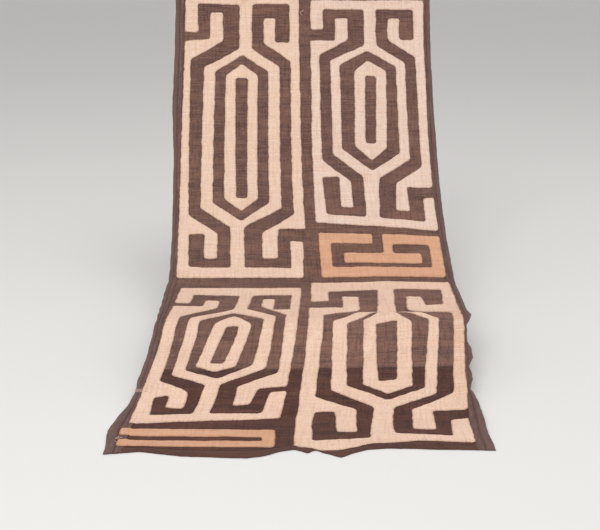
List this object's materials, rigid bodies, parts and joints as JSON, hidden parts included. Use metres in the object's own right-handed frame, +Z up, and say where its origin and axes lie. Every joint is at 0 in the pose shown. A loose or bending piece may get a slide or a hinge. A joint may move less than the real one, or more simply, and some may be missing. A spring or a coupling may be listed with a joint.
{
  "type": "kuba raffia cloth hanging",
  "caption": "Dark raffia cloth with cut-work panels in light raffia, hung from its top edge and swept over a low fold onto the floor.",
  "frame": {"origin": "middle of the cloth's top edge, on its front face", "axes": "+X to the right seen from the front, +Z up, the cloth comes forward along -Y as it falls; the floor is at z = -0.707 m"},
  "size_m": [0.6806, 1.2855, 0.7074],
  "materials": {
    "ground_brown": "dyed plain-weave raffia",
    "ground_dark": "darker dyed plain-weave raffia",
    "edge_brown": "dyed raffia strip, hemmed",
    "raffia_cream": "undyed plain-weave raffia",
    "raffia_tan": "tan plain-weave raffia"
  },
  "bodies": {
    "root": {"ground_upper": "ground_brown", "ground_lower": "ground_dark", "edge_left": "edge_brown", "edge_right": "edge_brown", "edge_top": "edge_brown", "edge_foot": "ground_dark", "panel_a_field": "raffia_cream", "panel_a_ring": "raffia_cream", "panel_b_field": "raffia_cream", "panel_b_ring": "raffia_cream", "panel_c_field": "raffia_cream", "panel_c_ring": "raffia_cream", "panel_d_field": "raffia_cream", "panel_d_ring": "raffia_cream", "tan_scroll": "raffia_tan", "tan_bar": "raffia_tan"}
  },
  "joints": []
}
